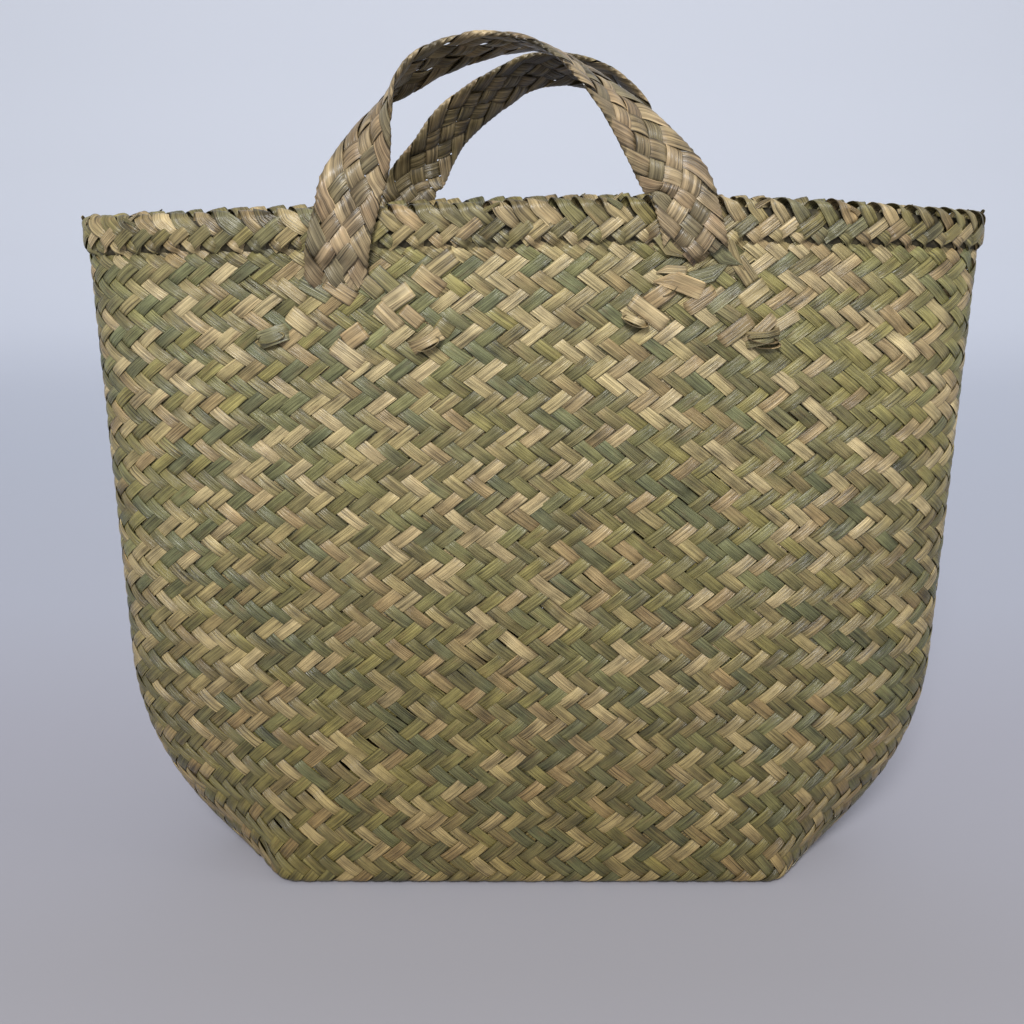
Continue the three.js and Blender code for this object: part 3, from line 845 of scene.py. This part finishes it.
def plait(course, base_tones):
    """The strands of one handle: each crosses to the far edge, folds there and crosses back."""
    surface, length = strap_surface(course)
    spare_run = 30
    runs = np.linspace(-first_end - spare_run, length + last_end + spare_run, 3000)
    shortening = smooth((runs - length + row_change) / row_change)
    pitch = long_row + (short_row - long_row) * shortening
    rows_at = np.concatenate([[0], np.cumsum(np.diff(runs) / pitch[1:])])
    rows_at -= np.interp(length + row_start, runs, rows_at)
    spots = np.linspace(-0.5, 0.5, 5)
    middles, tones, facings = [], [], []
    for strand in range(strand_count):
        trial = np.linspace(rows_at[0], rows_at[-1], 6000)
        trial_lane = np.abs(np.mod(trial + strand, strand_count) - plait_lanes)
        trial_across = np.abs((trial_lane / plait_lanes - 0.5) * strap_width)
        trial_run = np.interp(trial, rows_at, runs)
        inside = np.minimum(trial_run + first_end - first_taper * trial_across,
                            length + last_end - trial_run - last_taper * trial_across)
        kept = trial[inside > 0]
        rows = np.linspace(kept[0], kept[-1], strand_steps + 1)
        width = strand_width + strand_width_change * wander(1, rows, 3, 7)[0]
        width = width + rng.uniform(-0.05, 0.04)
        drift = strand_drift * wander(1, rows, 4, 9)[0]
        spare = drift[:, None] + width[:, None] * spots
        own = rows[:, None] + strand + spare / 2
        row = rows[:, None] - spare / 2
        column = plait_lanes - np.abs(np.mod(own, strand_count) - plait_lanes)
        column = np.sqrt(column ** 2 + edge_softness ** 2) - edge_softness
        left_over = np.sqrt((plait_lanes - column) ** 2 + edge_softness ** 2) - edge_softness
        column = plait_lanes - left_over
        sign = strand_sign(rows[:, None] + strand + 0 * own, own)
        from_end = np.minimum(rows - rows[0], rows[-1] - rows) * long_row
        rise = strand_relief * (1 + strand_relief_change * wander(1, rows, 2.5, 6)[0])[:, None]
        tilt = strand_tilt * wander(1, rows, 1.3, 2.9)[0][:, None] * spots
        lift = rise * sign * (1 - strand_edge_drop * (2 * spots) ** 2) + tilt
        lift = lift - end_sink * (1 - smooth(from_end / end_sink_reach))[:, None]
        across = (column / plait_lanes - 0.5) * strap_width * strap_fill
        middles.append(lifted(surface, np.interp(row, rows_at, runs), across, lift, 0.6))
        crossing = np.mod(rows + strand, strand_count)
        crossing_back = smooth((crossing - 2.8) / 0.4)
        tones.append(base_tones[strand] + 0.08 * crossing_back + 0.05 * wander(1, rows, 2)[0])
        facings.append(np.where(crossing < plait_lanes, -1, 1))
    return np.array(middles), np.array(tones), np.array(facings)


def turned(places):
    """The same places on the other side of the bag."""
    return places * (-1, -1, 1)


strap_leaf = leaf_material("strap_leaf", tan=0.62, bump=0.6, streaks=1.5, fade=0.25, two_sided=True)
strand_tones = {
    "front": (0.72, 0.02, 0.8, 0.64, 0.88, 0.58),
    "back": (0.34, 0.62, 0.76, 0.1, 0.2, 0.88),
}
for handle, course in courses.items():
    middles, tones, facings = plait(course, strand_tones[handle])
    legs = ("left", "right")
    if handle == "back":
        middles = turned(middles)
        legs = ("right", "left")
    strap = leaf_piece(f"{handle}_handle_plait", middles, strand_thickness, tones, facings)
    strap.data.materials.append(strap_leaf)
    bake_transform(strap)
    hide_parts(f"{handle}_handle_strap", *(f"{handle}_{leg}_handle_root" for leg in legs))

# Tucked strands
# Below each root the strap's strands spread to both sides and are darned down into the wall, flat
# over a few of its strips and then under one. Some ends are folded to a point or stand in a loop.
# Each row: start column and row, end column and row, width, lift, bulge, pointed end, tone.
tucked = {
    "right": (
        (5.31, 37.53, 7.66, 36.34, 7.6, 2.2, 0.6, -1, 0.8),
        (5.3, 37.8, 6.8, 37.7, 3.4, 2.0, 0.5, -1, 0.74),
        (6.5, 37.05, 8.63, 37.81, 6.4, 1.7, 0.4, 1, 0.03),
        (6.6, 35.3, 8.1, 36.64, 6.3, 1.5, 0.3, 0, 0.8),
        (7.55, 35.22, 9.3, 37.01, 5.2, 1.4, 0.2, 0, 0.06),
        (9.05, 35.75, 10.35, 37.1, 7.0, 1.4, 0.5, 0, 0.56),
        (8.75, 38.5, 9.75, 36.8, 6.6, 1.0, 0.6, 0, 0.58),
        (7.95, 35.81, 9.27, 34.71, 5.6, 1.2, 0.1, 0, 0.93),
        (8.2, 33.4, 9.85, 35.05, 6.6, 1.6, 0.3, 0, 0.82),
        (9.4, 33.3, 10.9, 35.2, 5.6, 1.5, 0.3, 0, 0.72),
        (10.68, 34.25, 11.93, 35.33, 5.4, 1.2, 0.2, 0, 0.6),
        (9.35, 33.3, 11.15, 34.0, 4.2, 1.2, 3.6, 0, 0.9),
        (9.3, 33.9, 11.2, 34.25, 3.6, 1.4, 4.6, 0, 0.84),
        (4.1, 36.15, 5.98, 34.35, 6.8, 1.5, 0.3, 0, 0.74),
        (3.8, 35.25, 5.1, 34.5, 4.4, 1.3, 4.4, 0, 0.72),
        (4.85, 35.6, 6.2, 36.95, 7.4, 1.3, 1.4, 0, 0.8),
        (7.5, 39.4, 8.9, 37.7, 6.2, 2.0, 0.3, 1, 0.04),
        (8.24, 39.8, 8.97, 37.6, 5.0, 1.8, 0.4, 1, 0.8),
        (5.19, 40.06, 6.44, 38.12, 6.4, 2.4, 0.3, 1, 0.9)),
    "left": (
        (-9.4, 37.65, -7.85, 36.2, 6.8, 1.6, 0.3, 0, 0.84),
        (-8.48, 38.16, -7.6, 36.9, 4.2, 1.4, 0.0, 0, 0.92),
        (-7.9, 37.9, -6.7, 36.45, 6.2, 1.5, 0.3, 0, 0.9),
        (-7.24, 38.3, -5.9, 36.6, 6.4, 1.3, 0.4, 0, 0.2),
        (-6.75, 35.8, -5.35, 37.05, 7.8, 1.5, 0.6, 0, 0.66),
        (-4.75, 37.65, -3.4, 39.0, 7.8, 1.5, 0.5, 0, 0.62),
        (-5.35, 38.15, -3.95, 36.6, 7.6, 1.3, 0.3, 0, 0.84),
        (-7.1, 36.15, -5.9, 34.5, 6.4, 1.3, 0.4, 0, 0.74),
        (-5.95, 35.85, -4.95, 34.7, 6.0, 1.2, 0.3, 0, 0.78),
        (-5.65, 33.25, -3.95, 34.45, 7.0, 1.3, 4.2, 0, 0.74),
        (-4.4, 35.0, -3.6, 34.2, 6.0, 1.3, 0.6, 0, 0.3),
        (-12.65, 33.85, -10.95, 34.6, 7.6, 1.2, 2.4, 0, 0.93),
        (-11.1, 35.75, -9.85, 34.4, 8.2, 1.3, 0.5, 0, 0.64),
        (-10.6, 37.65, -8.95, 36.3, 5.8, 1.2, 0.2, 0, 0.02),
        (-11.5, 37.65, -10.15, 36.2, 5.4, 1.2, 0.2, 0, 0.58),
        (-8.6, 33.65, -7.55, 34.65, 8.4, 1.3, 0.4, 0, 0.8),
        (-9.2, 33.8, -7.65, 32.25, 8.2, 1.2, 0.3, 0, 0.72)),
}
# Loops stand with their width square to the wall: middle column and row, half length, half height
# and depth in millimetres, slope in degrees, tone.
loops = {
    "right": ((4.45, 34.8, 5.6, 2.0, 5.0, -18, 0.72), (10.2, 33.75, 6.6, 1.6, 5.0, -8, 0.84),
              (10.45, 33.4, 5.6, 1.5, 4.0, 2, 0.8), (5.9, 36.6, 4.0, 1.4, 3.0, 35, 0.9)),
    "left": ((-4.75, 33.7, 5.4, 2.3, 5.0, 24, 0.7), (-11.85, 34.15, 6.0, 2.0, 4.0, 12, 0.9)),
}
tail_thickness, tail_row_pitch, tail_sink, tail_dive = 0.45, 7.1, 0.9, 0.16
point_narrowing, end_point_from, start_point_to = 0.94, 0.6, 0.3
standing_bulge, loop_foot = 3, 0.4
loop_turn = np.radians(np.linspace(-160, 175, 41))
loop_share = np.linspace(0, 1, len(loop_turn))
tail_leaf = leaf_material("tail_leaf", tan=0.2, bump=0.7, streaks=1.3, fade=0.1)
tail_share = np.linspace(0, 1, 29)

for handle in courses:
    for leg, rows in tucked.items():
        start, start_row, end, end_row, wide, height, bulge, pointed, tone = (
            np.array(v, float)[:, None] for v in zip(*rows))
        tail_column = start + (end - start) * tail_share
        tail_row = start_row + (end_row - start_row) * tail_share
        free_start, free_end = pointed < 0, pointed > 0
        dive = (smooth(tail_share / tail_dive) + free_start).clip(0, 1)
        dive = dive * (smooth((1 - tail_share) / tail_dive) + free_end).clip(0, 1)
        lift = -tail_sink + (height + tail_sink) * dive
        lift = lift + bulge * np.sin(math.pi * tail_share) ** 2
        to_end = ((tail_share - end_point_from) / (1 - end_point_from)).clip(0)
        to_start = ((start_point_to - tail_share) / start_point_to).clip(0)
        narrow = 1 - point_narrowing * free_end * to_end
        narrow = narrow * (1 - point_narrowing * free_start * to_start)
        shift = (free_start * 1.0 - free_end) * wide * (1 - narrow) / 2
        narrow = narrow * (1 - 0.35 * (bulge > standing_bulge) * np.sin(math.pi * tail_share))
        tilt = 0.24 * rng.normal(0, 1, (len(rows), 1)) * np.ones_like(tail_share)
        middles = laid(bag_point, tail_column, tail_row, wide * narrow, lift, tilt,
                       tail_row_pitch, shift)
        tones = list(tone[:, 0])
        for column, row, half_length, half_height, depth, slope, loop_tone in loops[leg]:
            level, upright = math.cos(math.radians(slope)), math.sin(math.radians(slope))
            long, high = half_length * np.cos(loop_turn), half_height * np.sin(loop_turn)
            loop_column = column + (long * level - high * upright) / column_pitch
            loop_row = row + (long * upright + high * level) / tail_row_pitch
            spread_column = np.interp(tail_share, loop_share, loop_column)[:, None] + 0 * lanes
            spread_row = np.interp(tail_share, loop_share, loop_row)[:, None] + 0 * lanes
            narrowing = (0.75 + 0.25 * np.cos(tail_share * math.pi))[:, None]
            rise = loop_foot + depth * (0.5 - lanes) * narrowing
            loop = lifted(bag_point, spread_column, spread_row, rise)
            middles = np.concatenate([middles, loop[None]])
            tones.append(loop_tone)
        seen_leg = leg
        if handle == "back":
            middles = turned(middles)
            seen_leg = {"left": "right", "right": "left"}[leg]
        tails = leaf_piece(f"{handle}_{seen_leg}_tucked_strands", middles, tail_thickness, tones)
        tails.data.materials.append(tail_leaf)
        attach(tails, "bag")
        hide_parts(*(f"{handle}_{seen_leg}_tail_{side_name}_{order}"
                             for side_name in ("left", "right") for order in (1, 2, 3, 4)))
